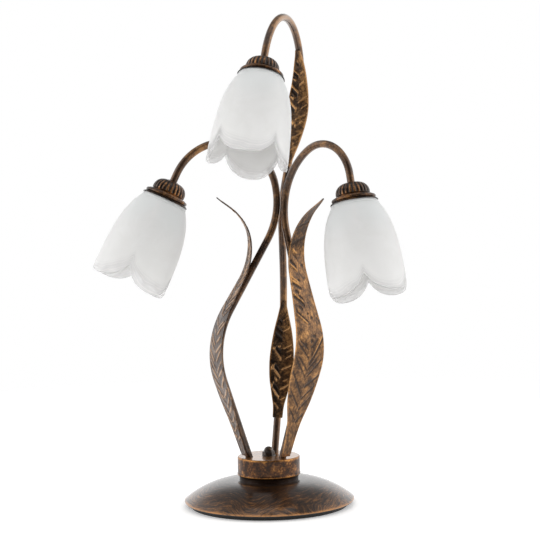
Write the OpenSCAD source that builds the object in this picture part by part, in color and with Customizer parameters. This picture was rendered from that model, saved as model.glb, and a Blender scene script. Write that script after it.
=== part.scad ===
// Tulip shade table lamp: a weighted dome base, three bent tube arms with
// pressed steel leaves, and three glass tulip shades with small globe bulbs.
// Millimetres, +Z up. The origin is on the table, on the centre line of the base.

/* [Base] */
// Radius of the pressed dome at its rim
base_r = 100; // [90:1:120]
// Height of the dome's rim above the table
rim_h = 6; // [6:0.5:8]
// Height of the dome's flat top
dome_top = 31; // [30:0.5:34]
// Radius of the dome's arched side, seen in section
dome_arc_r = 105; // [95:1:140]
// Thickness of the pressed steel sheet
sheet_t = 1.2; // [0.8:0.1:1.6]
// Radius of the cast iron weight inside the dome
weight_r = 66; // [60:1:68]

/* [Drum] */
// Radius of the drum that carries the arms
drum_r = 36.7; // [35:0.1:40]
// Height of the drum's top above the table
drum_top = 58; // [54:0.5:62]
// Radius of the circle on which the arms stand
foot_circle_r = 24; // [22:0.5:26]

/* [Arms and leaves] */
// Outer diameter of the arm tubes
tube_d = 8.6; // [8:0.2:10]
// Bore of the arm tubes
tube_bore = 7; // [6:0.2:7.4]
// Thickness of the leaves' sheet steel
leaf_t = 1.2; // [0.8:0.1:1.6]
// Widest half width of the two large leaves
side_leaf_w = 22.5; // [18:0.5:25]
// Widest half width of the two small leaves
stem_leaf_w = 14; // [12:0.5:18]

/* [Lights] */
// Largest radius of a glass shade
shade_r = 45; // [43:0.5:50]
// Distance from the cup's top to the petals' tips
shade_tip = 129; // [120:1:140]
// Depth of the notches between the petals
notch_depth = 22; // [14:1:26]
// Thickness of the glass
glass_t = 3; // [2:0.25:3.5]
// Number of flutes round a cup
flute_count = 24; // [16:2:28]
// Diameter of a bulb's glass globe
globe_d = 45; // [35:1:50]

/* [Hidden] */

round_fn = 96;
small_fn = 48;
tube_sides = 12;
lead_sides = 6;
bend_step = 9;
tiny = 0.01;

// Base
plate_z = 5;
plate_t = 1;
foot_outer_r = 93.5;
foot_inner_r = 84;
weight_top = 16;
hub_r = 12;
nut_recess_r = 11;
recess_top = 13;
washer_t = 1.5;
rod_r = 3.95;
nut_bore_r = 4;
rod_hole_r = 4.2;
nut_width = 13;
plate_screw_circle = 50;
screw_r = 2;
wire_hole = [0, 19];
wire_hole_r = 8;
drum_neck_r = 31;
drum_band_z = 38.6;
inlet_z = 14;
inlet_r = 5;
inlet_bore_r = 3.6;
block_y = 38;
clamp_y = 57;

// Arms and leaves
tube_r = tube_d / 2;
lead_r = 2.2;
tube_below_drum = 5;
thread_run = 12;
leaf_gap = tube_r + leaf_t / 2;
leaf_crown = 1;

// An arm is [azimuth of its plane, sideways tilt of the plane, start radius,
// start lean, rows of [straight run, bend radius, bend angle], last straight run].
// Leans are degrees from upright, and outwards is positive.
left_arm = [198, 1.5, foot_circle_r, 18,
    [[95, 105, -48], [92, 90, 39], [2, 63, 145]], 9];
right_arm = [312, 2.5, foot_circle_r, 18,
    [[116, 80, -36], [111, 80, 77], [0, 46, 107]], 9];
top_arm = [252, 3, -foot_circle_r, -8.5,
    [[86, 405, 21], [32, 90, -39.5], [91, 74, 184]], 6];

// A large leaf lies along its arm's first bend, then leaves it with a bend of its own.
leaf_start = 4;
left_leaf_curl = [[36, 82, 30], [0, 53, 54]];
right_leaf_curl = [[58, 67, 72]];
left_leaf_tip = 26;
right_leaf_tip = 20;
// Turn of a leaf about its arm, in degrees at its foot and at its tip
left_leaf_roll = [10, -12];
right_leaf_roll = [0, 0];
lower_leaf_roll = [18, 18];
upper_leaf_roll = [0, 0];
// Half width along a leaf, as [share of its length, share of its widest half width]
side_leaf_shape = [[0, 0.26], [0.12, 0.43], [0.22, 0.82], [0.33, 1.02], [0.45, 0.93],
    [0.6, 0.7], [0.77, 0.5], [0.87, 0.35], [0.95, 0.16], [1, 0.03]];
stem_leaf_shape = [[0, 0.29], [0.1, 0.5], [0.22, 0.76], [0.38, 0.98], [0.5, 1],
    [0.62, 0.86], [0.75, 0.66], [0.88, 0.45], [0.96, 0.28], [1, 0.22]];
// A small leaf lies along the top arm between two distances from the drum.
lower_leaf_span = [46, 186];
upper_leaf_span = [350, 500];

// Lights, by distance from the cup's top towards the mouth
cup_t = 1;
cup_arc_r = 12;
cup_crown_r = 7.4;
cup_arc_z = 13;
flute_r = 1.6;
flute_lift = 0.9;
flange_z = 15.5;
flange_r = 22.6;
cup_edge_z = 22;
cup_edge_r = 24;
neck_r = 20.4;
neck_hole_r = 14.6;
neck_end_z = 20.5;
shoulder_z = 26.9;
shoulder_r = 26.8;
swell_length = 27;
holder_r = 14;
holder_end_z = 42;
holder_floor_z = 22;
socket_outer_r = 8;
socket_bore_r = 7.08;
cap_r = 7;
cap_end_z = 41;
globe_z = 76;
petal_x = 0.707;

// The way each shade's first notch points, in degrees round the light's axis
left_notch = 23;
right_notch = -42;
top_notch = 33;

// ---------- routes in an arm's plane, as stations [distance out, height, lean] ----------

function ahead(at, run) = [at[0] + run * sin(at[2]), at[1] + run * cos(at[2]), at[2]];
function beside(at, gap) = [at[0] + gap * cos(at[2]), at[1] - gap * sin(at[2]), at[2]];

function bend_stations(at, row) =
    let (start = ahead(at, row[0]), a = at[2], s = sign(row[2]),
         n = ceil(abs(row[2]) / bend_step), centre = beside(start, s * row[1]))
    [for (i = [(row[0] < 3 ? 1 : 0) : n])
        let (t = a + row[2] * i / n)
        [centre[0] - s * row[1] * cos(t), centre[1] + s * row[1] * sin(t), t]];

function bends(at, rows, i = 0) =
    i == len(rows) ? [] :
    let (part = bend_stations(at, rows[i]))
    concat(part, bends(part[len(part) - 1], rows, i + 1));

function last(list) = list[len(list) - 1];
function arm_start(arm) = [arm[2], 0, arm[3]];
function arm_bends(arm) = bends(arm_start(arm), arm[4]);
function arm_end(arm) = ahead(last(arm_bends(arm)), arm[5]);

// The arm's centre line, from inside the drum to the end of its thread
function arm_line(arm) =
    concat([ahead(arm_start(arm), -tube_below_drum)], arm_bends(arm),
        [ahead(arm_end(arm), thread_run)]);

function run_between(a, b) = norm([b[0] - a[0], b[1] - a[1]]);
function runs(line, k = 0, sum = 0) =
    k == len(line) - 1 ? [sum] :
    concat([sum], runs(line, k + 1, sum + run_between(line[k], line[k + 1])));

function segment(run_list, s, k = 0) =
    (k >= len(run_list) - 2 || s <= run_list[k + 1]) ? k : segment(run_list, s, k + 1);

// The station at run s along a line
function station(line, run_list, s) =
    let (k = segment(run_list, s),
         t = (s - run_list[k]) / (run_list[k + 1] - run_list[k]))
    line[k] + (line[k + 1] - line[k]) * t;

// Value at x of the smooth curve through a list of [position, value] pairs
function slope(pairs, i) =
    let (a = pairs[max(i - 1, 0)], b = pairs[min(i + 1, len(pairs) - 1)])
    (b[1] - a[1]) / (b[0] - a[0]);
function curve_at(pairs, x, i = 0) =
    (i < len(pairs) - 2 && x > pairs[i + 1][0]) ? curve_at(pairs, x, i + 1) :
    let (w = pairs[i + 1][0] - pairs[i][0], t = (x - pairs[i][0]) / w)
    pairs[i][1] * (2 * t * t * t - 3 * t * t + 1)
        + pairs[i + 1][1] * (3 * t * t - 2 * t * t * t)
        + slope(pairs, i) * w * (t * t * t - 2 * t * t + t)
        + slope(pairs, i + 1) * w * (t * t * t - t * t);

// ---------- frames ----------

module arm_frame(arm) {
    translate([0, 0, drum_top]) rotate([0, 0, arm[0]]) rotate([-arm[1], 0, 0])
        children();
}

// Frame of a light: origin at the cup's top, +Z along its axis to the mouth
module light_frame(arm) {
    at = arm_end(arm);
    arm_frame(arm) translate([at[0], 0, at[1]]) rotate([0, at[2], 0]) children();
}

// ---------- swept shapes ----------

function ring_at(at, r, sides) =
    [for (j = [0 : sides - 1])
        let (t = 360 * j / sides)
        [at[0] + r * cos(t) * cos(at[2]), r * sin(t), at[1] - r * cos(t) * sin(at[2])]];

function wall_faces(n, sides) =
    [for (i = [0 : n - 2], j = [0 : sides - 1])
        let (a = i * sides + j, b = i * sides + (j + 1) % sides)
        [a, a + sides, b + sides, b]];

module swept_tube(line, r, bore_r, sides) {
    n = len(line);
    m = n * sides;
    outer = [for (at = line) each ring_at(at, r, sides)];
    inner = [for (at = line) each ring_at(at, bore_r, sides)];
    bore = [for (f = wall_faces(n, sides)) [f[3] + m, f[2] + m, f[1] + m, f[0] + m]];
    ends = [for (j = [0 : sides - 1])
        let (k = (j + 1) % sides, z = m - sides)
        each [[j, k, m + k, m + j], [z + k, z + j, m + z + j, m + z + k]]];
    polyhedron(concat(outer, inner), concat(wall_faces(n, sides), bore, ends));
}

function rod_caps(n, sides) =
    [[for (j = [0 : sides - 1]) j],
     [for (j = [sides - 1 : -1 : 0]) (n - 1) * sides + j]];

module swept_rod(line, r, sides) {
    polyhedron([for (at = line) each ring_at(at, r, sides)],
        concat(wall_faces(len(line), sides), rod_caps(len(line), sides)));
}

// A wire along points in space, none of whose runs is vertical for long
function unit(v) = v / norm(v);
function heading(points, i) =
    unit(points[min(i + 1, len(points) - 1)] - points[max(i - 1, 0)]);
module wire(points, r, sides) {
    rings = [for (i = [0 : len(points) - 1])
        let (d = heading(points, i), u = unit(cross(d, [0.3, 1, 0.1])), v = cross(u, d))
        each [for (j = [0 : sides - 1])
            let (t = 360 * j / sides) points[i] + r * (u * cos(t) + v * sin(t))]];
    polyhedron(rings, concat(wall_faces(len(points), sides), rod_caps(len(points), sides)));
}

// A leaf: a crowned strip of sheet steel along a line, wide in its middle, turned
// about the arm by an angle that changes from its foot to its tip
module leaf_strip(line, shape, widest, roll, steps, cols) {
    run_list = runs(line);
    length = last(run_list);
    at = [for (i = [0 : steps]) station(line, run_list, length * i / steps)];
    half = [for (i = [0 : steps]) widest * curve_at(shape, i / steps)];
    across = 2 * cols + 1;
    m = (steps + 1) * across;
    faces = [for (side = [1, -1]) each [for (i = [0 : steps], j = [-cols : cols])
        let (x = half[i] * j / cols, t = roll[0] + (roll[1] - roll[0]) * i / steps,
             out = leaf_gap + side * leaf_t / 2 - leaf_crown * pow(x / widest, 2),
             p = beside(at[i], out * cos(t) - x * sin(t) - leaf_gap))
        [p[0], out * sin(t) + x * cos(t), p[1]]]];
    function id(side, i, j) = side * m + i * across + j;
    outer = [for (i = [0 : steps - 1], j = [0 : across - 2])
        [id(0, i, j), id(0, i, j + 1), id(0, i + 1, j + 1), id(0, i + 1, j)]];
    inner = [for (i = [0 : steps - 1], j = [0 : across - 2])
        [id(1, i, j), id(1, i + 1, j), id(1, i + 1, j + 1), id(1, i, j + 1)]];
    edges = [for (i = [0 : steps - 1]) each
        [[id(0, i, 0), id(0, i + 1, 0), id(1, i + 1, 0), id(1, i, 0)],
         [id(0, i, across - 1), id(1, i, across - 1),
          id(1, i + 1, across - 1), id(0, i + 1, across - 1)]]];
    ends = [for (j = [0 : across - 2]) each
        [[id(0, 0, j), id(1, 0, j), id(1, 0, j + 1), id(0, 0, j + 1)],
         [id(0, steps, j), id(0, steps, j + 1), id(1, steps, j + 1), id(1, steps, j)]]];
    polyhedron(faces, concat(outer, inner, edges, ends));
}

// ---------- base ----------

function arc_centre(a, b, r) =
    let (d = unit(b - a), half = norm(b - a) / 2)
    (a + b) / 2 + sqrt(r * r - half * half) * [-d[1], d[0]];
dome_centre = arc_centre([base_r, rim_h + 1], [drum_neck_r, dome_top], dome_arc_r);
function dome_height(r, out) = dome_centre[1] + sqrt(r * r - pow(out - dome_centre[0], 2));

module foot_ring() {
    color("#1c1a19") rotate_extrude($fn = round_fn)
        polygon([[foot_inner_r, 0.4], [foot_inner_r + 0.6, 0], [foot_outer_r - 1, 0],
            [foot_outer_r, 1.2], [foot_outer_r, plate_z], [foot_inner_r, plate_z]]);
}

module base_plate() {
    color("#2b2826") difference() {
        translate([0, 0, plate_z]) cylinder(r = base_r - 0.8, h = plate_t, $fn = round_fn);
        translate([0, 0, plate_z - 1]) cylinder(r = hub_r, h = 3, $fn = small_fn);
        at_plate_screws() cylinder(r = screw_r + 0.1, h = 20, center = true, $fn = small_fn);
    }
}

module at_plate_screws() {
    for (a = [30, 150, 270]) rotate([0, 0, a]) translate([plate_screw_circle, 0, 0]) children();
}

module plate_screws() {
    color("#8a8580") at_plate_screws() {
        translate([0, 0, plate_z]) cylinder(r = screw_r, h = 8, $fn = small_fn);
        difference() {
            translate([0, 0, plate_z - 2]) cylinder(r1 = 3.2, r2 = 3.8, h = 2, $fn = small_fn);
            translate([0, 0, plate_z - 2]) cube([5, 0.9, 1.6], center = true);
        }
    }
}

module base_weight() {
    color("#3d3a38") difference() {
        rotate_extrude($fn = round_fn)
            polygon([[rod_hole_r, recess_top], [nut_recess_r, recess_top],
                [nut_recess_r, rim_h], [weight_r - 2, rim_h], [weight_r, rim_h + 2],
                [weight_r, weight_top - 2], [weight_r - 2, weight_top],
                [hub_r + 2, weight_top], [hub_r, weight_top + 2],
                [hub_r, dome_top - sheet_t], [rod_hole_r, dome_top - sheet_t]]);
        at_plate_screws() translate([0, 0, rim_h - 1]) cylinder(r = screw_r, h = 9, $fn = small_fn);
        at_clamp_screws() translate([0, 0, weight_top - 6])
            cylinder(r = 1.5, h = 10, $fn = small_fn);
    }
}

module base_dome() {
    outer_top = atan2(dome_top - dome_centre[1], drum_neck_r - dome_centre[0]);
    outer_rim = atan2(rim_h + 1 - dome_centre[1], base_r - dome_centre[0]);
    in_r = dome_arc_r - sheet_t;
    skirt_r = base_r - 1.6;
    inner_rim = acos((skirt_r - dome_centre[0]) / in_r);
    steps = 20;
    function arc(r, from, to) = [for (i = [0 : steps])
        let (t = from + (to - from) * i / steps) dome_centre + r * [cos(t), sin(t)]];
    color("#4b3423") difference() {
        rotate_extrude($fn = round_fn)
            polygon(concat([[rod_hole_r, dome_top]], arc(dome_arc_r, outer_top, outer_rim),
                [[base_r, rim_h], [skirt_r, rim_h]], arc(in_r, inner_rim, outer_top),
                [[rod_hole_r, dome_top - sheet_t]]));
        translate([wire_hole[0], wire_hole[1], dome_top])
            cylinder(r = wire_hole_r, h = 6, center = true, $fn = small_fn);
        translate([0, weight_r, inlet_z]) rotate([-90, 0, 0])
            cylinder(r = inlet_r, h = base_r, $fn = small_fn);
    }
}

module drum() {
    corner = 1.5;
    in_r = drum_r - sheet_t;
    cove = drum_r + 0.2 - drum_neck_r;
    function cove_line(start, size, height) = [for (t = [0 : 15 : 90])
        [start + size * (1 - cos(t)), dome_top + height * sin(t)]];
    function reversed(list) = [for (i = [len(list) - 1 : -1 : 0]) list[i]];
    color("#5a3c26") difference() {
        rotate_extrude($fn = round_fn)
            polygon(concat(cove_line(drum_neck_r, cove, drum_band_z - dome_top),
                [[drum_r + 0.5, drum_band_z + 0.6], [drum_r + 0.5, drum_band_z + 1.6],
                    [drum_r, drum_band_z + 2.3]],
                [for (t = [0 : 22.5 : 90]) [drum_r - corner + corner * cos(t),
                    drum_top - corner + corner * sin(t)]],
                [[rod_hole_r, drum_top], [rod_hole_r, drum_top - sheet_t],
                    [in_r - 1, drum_top - sheet_t], [in_r, drum_top - sheet_t - 1],
                    [in_r, drum_band_z + 1.6]],
                reversed(cove_line(drum_neck_r - sheet_t, cove - 0.2, drum_band_z + 1 - dome_top))));
        for (arm = [left_arm, right_arm, top_arm])
            arm_frame(arm) translate([arm[2], 0, 0]) rotate([0, arm[3], 0])
                cylinder(r = tube_r, h = 20, center = true, $fn = small_fn);
    }
}

module centre_rod() {
    color("#9a948c") translate([0, 0, rim_h - 1.5])
        cylinder(r = rod_r, h = drum_top + 7 - rim_h + 1.5, $fn = small_fn);
}

module base_washer() {
    color("#9a948c") translate([0, 0, recess_top - washer_t]) difference() {
        cylinder(r = nut_recess_r - 1, h = washer_t, $fn = small_fn);
        translate([0, 0, -1]) cylinder(r = rod_hole_r, h = 5, $fn = small_fn);
    }
}

module hex(width, height) {
    cylinder(r = width / 2 / cos(30), h = height, $fn = 6);
}

module base_nut() {
    color("#9a948c") translate([0, 0, rim_h - 0.5]) difference() {
        hex(nut_width, recess_top - washer_t - rim_h + 0.5);
        translate([0, 0, -1]) cylinder(r = nut_bore_r, h = 10, $fn = small_fn);
    }
}

module cap_nut() {
    dome_r = 5.6;
    color("#4a3324") translate([0, 0, drum_top]) difference() {
        union() {
            cylinder(r1 = 8, r2 = 7.6, h = 1, $fn = small_fn);
            intersection() {
                hex(nut_width, 5.2);
                cylinder(r1 = 10, r2 = 5.6, h = 7, $fn = small_fn);
            }
            translate([0, 0, 5.2]) sphere(r = dome_r, $fn = small_fn);
        }
        translate([0, 0, -1]) cylinder(r = nut_bore_r, h = 8.5, $fn = small_fn);
    }
}

module inlet_bush() {
    nose = base_r + 2;
    start = weight_r + 12;
    color("#201e1d") translate([0, 0, inlet_z]) rotate([-90, 0, 0]) difference() {
        union() {
            translate([0, 0, start]) cylinder(r = inlet_r, h = nose - 2 - start, $fn = small_fn);
            translate([0, 0, nose - 2]) cylinder(r1 = inlet_r, r2 = inlet_r - 1, h = 2, $fn = small_fn);
        }
        translate([0, 0, start - 1]) cylinder(r = inlet_bore_r, h = 40, $fn = small_fn);
    }
}

module at_clamp_screws() {
    for (x = [-9, 9]) translate([x, clamp_y, 0]) children();
}

module cord_clamp() {
    color("#d8d2c4") difference() {
        translate([-13, clamp_y - 4, weight_top]) cube([26, 8, 6]);
        translate([0, clamp_y, weight_top + 1]) rotate([90, 0, 0])
            cylinder(r = 3.3, h = 20, center = true, $fn = small_fn);
        translate([-3.3, clamp_y - 5, weight_top - 1]) cube([6.6, 10, 2]);
        at_clamp_screws() cylinder(r = 1.6, h = 60, $fn = small_fn);
    }
}

module clamp_screws() {
    color("#8a8580") at_clamp_screws() {
        translate([0, 0, weight_top - 5]) cylinder(r = 1.5, h = 11, $fn = small_fn);
        translate([0, 0, weight_top + 6]) difference() {
            cylinder(r = 2.9, h = 1.8, $fn = small_fn);
            translate([0, 0, 1.8]) cube([7, 0.8, 1.6], center = true);
        }
    }
}

module at_terminals() {
    for (x = [-6, 6], y = [-4, 4]) translate([x, block_y + y, weight_top + 4]) children();
}

module terminal_block() {
    color("#e6e0d2") difference() {
        translate([-12, block_y - 7, weight_top]) cube([24, 14, 8]);
        at_terminals() cylinder(r = 1.6, h = 8, $fn = small_fn);
    }
}

module terminal_screws() {
    color("#b49a5a") at_terminals() difference() {
        cylinder(r = 1.6, h = 4.6, $fn = small_fn);
        translate([0, 0, 4.6]) cube([5, 0.6, 1.4], center = true);
    }
}

// Point of an arm's plane in the lamp's frame
function in_lamp(arm, at) =
    [cos(arm[0]) * at[0] - sin(arm[0]) * at[1] * sin(arm[1]),
     sin(arm[0]) * at[0] + cos(arm[0]) * at[1] * sin(arm[1]),
     drum_top + at[1] * cos(arm[1])];
function drum_route(arm, side, y) =
    let (start = ahead(arm_start(arm), -tube_below_drum))
    [in_lamp(arm, start), in_lamp(arm, ahead(start, -5)),
     [side * 7, y - 3, 42], [side * 4.6, y, 35], [side * 4.6, y + 1.5, 30],
     [side * 5.5, y + 5, 24], [side * 6, block_y - 9, 20], [side * 6, block_y - 7, 20]];

module base_leads() {
    color("#d9d4c8") {
        wire(drum_route(left_arm, -1, 17.5), lead_r, lead_sides);
        wire(drum_route(right_arm, 1, 17.5), lead_r, lead_sides);
        wire(drum_route(top_arm, 0, 22), lead_r, lead_sides);
    }
}

// ---------- arms and leaves ----------

module arm(arm) {
    color("#50382a") arm_frame(arm)
        swept_tube(arm_line(arm), tube_r, tube_bore / 2, tube_sides);
}

module lead(arm) {
    line = arm_line(arm);
    color("#d9d4c8") arm_frame(arm)
        swept_rod([for (i = [0 : len(line) - 1])
            i < len(line) - 1 ? line[i] : ahead(line[i], 7)], lead_r, lead_sides);
}

module side_leaf(arm, curl, tip, roll) {
    first_bend = bends(arm_start(arm), [arm[4][0]]);
    hug = [for (at = concat([ahead(arm_start(arm), leaf_start)], first_bend))
        beside(at, leaf_gap)];
    curled = bends(last(hug), curl);
    color("#6a4a2c") arm_frame(arm)
        leaf_strip(concat(hug, curled, [ahead(last(curled), tip)]),
            side_leaf_shape, side_leaf_w, roll, 40, 3);
}

module stem_leaf(span, roll) {
    whole = [for (at = arm_line(top_arm)) beside(at, leaf_gap)];
    whole_runs = runs(whole);
    inside = [for (k = [0 : len(whole) - 1])
        if (whole_runs[k] > span[0] + tiny && whole_runs[k] < span[1] - tiny) whole[k]];
    line = concat([station(whole, whole_runs, span[0])], inside,
        [station(whole, whole_runs, span[1])]);
    color("#5e4129") arm_frame(top_arm)
        leaf_strip(line, stem_leaf_shape, stem_leaf_w, roll, 22, 2);
}

// ---------- lights ----------

module cup(arm) {
    function dome(r, from, to) = [for (i = [0 : 8])
        let (t = from + (to - from) * i / 8)
        [cup_crown_r + r * sin(t), cup_arc_z - r * cos(t)]];
    in_arc = cup_arc_r - cup_t;
    side_r = cup_crown_r + cup_arc_r;
    color("#6b4a2e") light_frame(arm) difference() {
        rotate_extrude($fn = round_fn)
            polygon(concat([[tube_r, 0], [cup_crown_r - 0.6, 0]], dome(cup_arc_r, 0, 90),
                [[side_r, flange_z - 1], [side_r - 1, flange_z], [flange_r, flange_z],
                    [flange_r + 1.3, flange_z + 0.8], [flange_r + 1.9, flange_z + 2.4],
                    [flange_r + 1.9, cup_edge_z - 1.6], [cup_edge_r, cup_edge_z],
                    [cup_edge_r - cup_t, cup_edge_z], [flange_r + 0.9, cup_edge_z - 2],
                    [flange_r + 0.9, flange_z + 2.8], [flange_r - 0.2, flange_z + cup_t],
                    [side_r - 2, flange_z + cup_t], [side_r - 2, flange_z - 0.4],
                    [side_r - cup_t, flange_z - 1.4]],
                dome(in_arc, 90, 0), [[tube_r, cup_arc_z - in_arc]]));
        for (k = [0 : flute_count - 1]) rotate([0, 0, 360 * k / flute_count])
            translate([cup_crown_r, 0, cup_arc_z]) rotate([90, 0, 0])
                rotate_extrude(angle = -72, start = -2, $fn = small_fn)
                    translate([cup_arc_r + flute_lift, 0]) circle(r = flute_r, $fn = small_fn);
    }
}

module rim(arm) {
    color("#3a2a20") light_frame(arm) rotate_extrude($fn = round_fn)
        polygon([[cup_edge_r - 1.1, cup_edge_z], [cup_edge_r + 0.3, cup_edge_z],
            [shoulder_r + 0.7, cup_edge_z + 3.1], [shoulder_r + 0.5, cup_edge_z + 3.8],
            [cup_edge_r - 0.6, cup_edge_z + 0.9]]);
}

module holder(arm) {
    color("#26231f") light_frame(arm) rotate_extrude($fn = round_fn)
        polygon([[tube_r, cup_arc_z - cup_arc_r + cup_t], [8, cup_arc_z - cup_arc_r + cup_t],
            [8, 5], [13, 10], [13, 13], [holder_r, 13], [holder_r, holder_end_z],
            [socket_outer_r, holder_end_z], [socket_outer_r, holder_floor_z],
            [3, holder_floor_z], [3, holder_floor_z - 2], [10, holder_floor_z - 2],
            [10, 14], [tube_r, 14]]);
}

module socket(arm) {
    color("#b8953f") light_frame(arm) translate([0, 0, holder_floor_z + 2]) difference() {
        cylinder(r = socket_outer_r, h = 17, $fn = small_fn);
        translate([0, 0, -1]) cylinder(r = socket_bore_r, h = 20, $fn = small_fn);
    }
}

module contact(arm) {
    color("#b8953f") light_frame(arm) translate([0, 0, holder_floor_z - 2]) {
        translate([0, 0, -0.6]) cylinder(r = 5, h = 0.6, $fn = small_fn);
        cylinder(r = 2.9, h = 2.2, $fn = small_fn);
    }
}

module shade_ring(arm) {
    color("#2a2622") light_frame(arm) translate([0, 0, neck_end_z]) difference() {
        union() {
            cylinder(r = 17.6, h = 3, $fn = round_fn);
            cylinder(r = 16.4, h = 6, $fn = round_fn);
        }
        translate([0, 0, -1]) cylinder(r = holder_r, h = 10, $fn = round_fn);
        for (k = [0 : 15]) rotate([0, 0, 22.5 * k]) translate([16.9, 0, 3.2])
            cylinder(r = 0.9, h = 4, $fn = small_fn);
    }
}

// Outer radius of the glass at a distance below its shoulder
function glass_radius(z) =
    shoulder_r + (shade_r - shoulder_r) * (1 - exp(-(z - shoulder_z) / swell_length));

module shade(arm, notch_turn) {
    steps = 14;
    body = [for (i = [0 : steps])
        let (z = shoulder_z + (shade_tip - shoulder_z) * pow(i / steps, 1.3))
        [glass_radius(z), z]];
    inner = [for (i = [steps : -1 : 0]) [body[i][0] - glass_t
        + (i == steps ? 0.3 : 0), body[i][1] + (i < 3 ? 1.5 - 0.5 * i : 0)]];
    tip_x = shade_r * petal_x;
    rise = (tip_x * tip_x + notch_depth * notch_depth) / (2 * notch_depth);
    color("#e9e7e2", 0.9) light_frame(arm) difference() {
        rotate_extrude($fn = round_fn)
            polygon(concat([[neck_hole_r, flange_z + cup_t], [neck_r, flange_z + cup_t],
                [neck_r, neck_end_z + 0.8]], body, inner,
                [[neck_r - 1.9, neck_end_z + 2.2], [neck_r - 2.2, neck_end_z],
                    [neck_hole_r, neck_end_z]]));
        for (k = [0 : 3]) rotate([0, 0, notch_turn + 90 * k]) rotate([90, 0, 90])
            translate([0, 0, 20]) linear_extrude(height = 40) difference() {
                translate([-tip_x, shade_tip - notch_depth - 1])
                    square([2 * tip_x, notch_depth + 10]);
                for (s = [-1, 1]) translate([s * tip_x, shade_tip - rise])
                    circle(r = rise, $fn = round_fn);
            }
    }
}

module bulb_cap(arm) {
    color("#c9c4ba") light_frame(arm) rotate_extrude($fn = small_fn)
        polygon([[0, holder_floor_z + 2.6], [cap_r - 0.6, holder_floor_z + 2.6],
            [cap_r, holder_floor_z + 3.4], [cap_r, cap_end_z], [0, cap_end_z]]);
}

module bulb_foot(arm) {
    color("#5b5a58") light_frame(arm) rotate_extrude($fn = small_fn)
        polygon([[0, holder_floor_z + 0.25], [2.2, holder_floor_z + 0.25],
            [2.6, holder_floor_z + 1], [cap_r - 0.8, holder_floor_z + 2.6],
            [0, holder_floor_z + 2.6]]);
}

module bulb_glass(arm) {
    globe_r = globe_d / 2;
    wall = 0.9;
    neck = 7.4;
    start = acos(neck / globe_r);
    function globe(r, from, to) = [for (i = [0 : 16])
        let (t = from + (to - from) * i / 16) [r * cos(t), globe_z - r * sin(t)]];
    color("#f4f1ea", 0.9) light_frame(arm) rotate_extrude($fn = round_fn)
        polygon(concat([[cap_r - 0.9, cap_end_z], [cap_r - 0.1, cap_end_z],
            [neck, cap_end_z + 5]], globe(globe_r, start, -90),
            globe(globe_r - wall, -90, start), [[neck - wall, cap_end_z + 5]]));
}

foot_ring();
base_plate();
plate_screws();
base_weight();
base_dome();
drum();
centre_rod();
base_washer();
base_nut();
cap_nut();
inlet_bush();
cord_clamp();
clamp_screws();
terminal_block();
terminal_screws();
base_leads();
arm(left_arm);  // arm_left
arm(right_arm);  // arm_right
arm(top_arm);  // arm_top
side_leaf(left_arm, left_leaf_curl, left_leaf_tip, left_leaf_roll);  // leaf_left
side_leaf(right_arm, right_leaf_curl, right_leaf_tip, right_leaf_roll);  // leaf_right
stem_leaf(lower_leaf_span, lower_leaf_roll);  // leaf_lower
stem_leaf(upper_leaf_span, upper_leaf_roll);  // leaf_upper
lead(left_arm);  // lead_left
lead(right_arm);  // lead_right
lead(top_arm);  // lead_top
cup(left_arm);  // cup_left
cup(right_arm);  // cup_right
cup(top_arm);  // cup_top
rim(left_arm);  // rim_left
rim(right_arm);  // rim_right
rim(top_arm);  // rim_top
holder(left_arm);  // holder_left
holder(right_arm);  // holder_right
holder(top_arm);  // holder_top
socket(left_arm);  // socket_left
socket(right_arm);  // socket_right
socket(top_arm);  // socket_top
contact(left_arm);  // contact_left
contact(right_arm);  // contact_right
contact(top_arm);  // contact_top
shade_ring(left_arm);  // shade_ring_left
shade_ring(right_arm);  // shade_ring_right
shade_ring(top_arm);  // shade_ring_top
shade(left_arm, left_notch);  // shade_left
shade(right_arm, right_notch);  // shade_right
shade(top_arm, top_notch);  // shade_top
bulb_cap(left_arm);  // bulb_cap_left
bulb_cap(right_arm);  // bulb_cap_right
bulb_cap(top_arm);  // bulb_cap_top
bulb_glass(left_arm);  // bulb_glass_left
bulb_glass(right_arm);  // bulb_glass_right
bulb_glass(top_arm);  // bulb_glass_top
bulb_foot(left_arm);  // bulb_foot_left
bulb_foot(right_arm);  // bulb_foot_right
bulb_foot(top_arm);  // bulb_foot_top
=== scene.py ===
"""Looks of the tulip shade table lamp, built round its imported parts. All sizes are in metres."""
import math

import bpy
import numpy as np
from mathutils import Matrix, Vector


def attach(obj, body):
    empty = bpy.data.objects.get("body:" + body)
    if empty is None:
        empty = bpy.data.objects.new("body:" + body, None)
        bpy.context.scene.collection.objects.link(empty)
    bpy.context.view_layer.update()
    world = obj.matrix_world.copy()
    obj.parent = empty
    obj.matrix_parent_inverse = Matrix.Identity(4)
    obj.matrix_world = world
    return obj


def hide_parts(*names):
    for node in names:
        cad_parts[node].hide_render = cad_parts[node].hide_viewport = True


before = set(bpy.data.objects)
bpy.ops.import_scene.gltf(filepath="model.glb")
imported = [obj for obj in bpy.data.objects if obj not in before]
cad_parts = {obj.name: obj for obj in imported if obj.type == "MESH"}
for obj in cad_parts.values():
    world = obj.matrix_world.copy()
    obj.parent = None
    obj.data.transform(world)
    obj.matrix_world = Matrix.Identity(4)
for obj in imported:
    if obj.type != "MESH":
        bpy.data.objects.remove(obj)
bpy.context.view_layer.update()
bpy.ops.object.select_all(action="DESELECT")

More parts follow.
